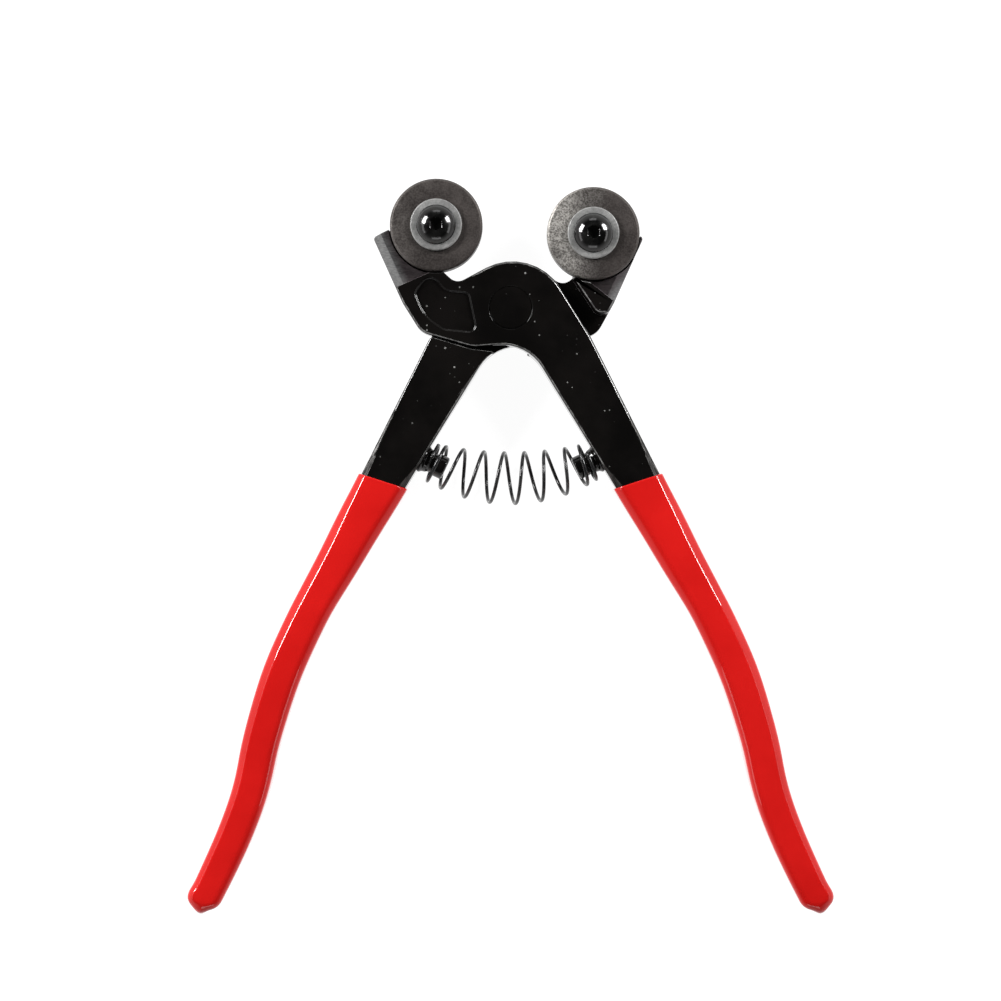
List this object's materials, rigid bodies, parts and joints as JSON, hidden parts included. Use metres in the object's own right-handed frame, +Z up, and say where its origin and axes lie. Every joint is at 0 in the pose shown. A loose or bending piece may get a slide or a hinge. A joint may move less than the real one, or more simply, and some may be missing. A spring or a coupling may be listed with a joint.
{
  "type": "mosaic glass nippers",
  "caption": "Hand nippers with crossed levers, round carbide cutting wheels held by button-head screws, a return spring and dipped grips.",
  "frame": {"origin": "under the middle of the tool as it lies on its back, in the resting plane", "axes": "+Y from the handles to the cutting wheels, +X to the right, +Z up out of the front face"},
  "size_m": [0.152, 0.1736, 0.0156],
  "materials": {
    "lever_enamel": "glossy black enamel on forged steel, with a fine orange-peel surface",
    "grip_pvc": "glossy red dipped PVC",
    "wheel_carbide": "satin sintered tungsten carbide",
    "bush_steel": "turned steel",
    "washer_zinc": "zinc-plated, slightly grainy",
    "screw_black": "glossy black oxide",
    "post_black": "black oxide, satin",
    "spring_wire": "oiled dark spring steel"
  },
  "bodies": {
    "rear_lever": {"rear_lever": "lever_enamel", "pivot_rivet": "lever_enamel", "rear_grip": "grip_pvc", "rear_wheel_bush": "bush_steel", "rear_wheel_washer": "washer_zinc", "rear_wheel_screw": "screw_black", "rear_spring_post": "post_black", "return_spring": "spring_wire"},
    "front_lever": {"front_lever": "lever_enamel", "front_grip": "grip_pvc", "front_wheel_bush": "bush_steel", "front_wheel_washer": "washer_zinc", "front_wheel_screw": "screw_black", "front_spring_post": "post_black"},
    "rear_wheel": {"rear_wheel": "wheel_carbide"},
    "front_wheel": {"front_wheel": "wheel_carbide"}
  },
  "joints": [
    {"name": "pivot", "type": "hinge", "parent": "rear_lever", "child": "front_lever", "pos_m": [0, 0.05623, 0.006], "axis": [0, 0, -1], "range_deg": [0, 37], "stiffness_Nm_per_rad": 0.8, "deforming": ["return_spring"]},
    {"name": "rear_wheel_turn", "type": "hinge", "parent": "rear_lever", "child": "rear_wheel", "pos_m": [0.01962, 0.0739, 0.009], "axis": [0, 0, 1], "continuous": true},
    {"name": "front_wheel_turn", "type": "hinge", "parent": "front_lever", "child": "front_wheel", "pos_m": [-0.01767, 0.07585, 0.009], "axis": [0, 0, 1], "continuous": true}
  ]
}
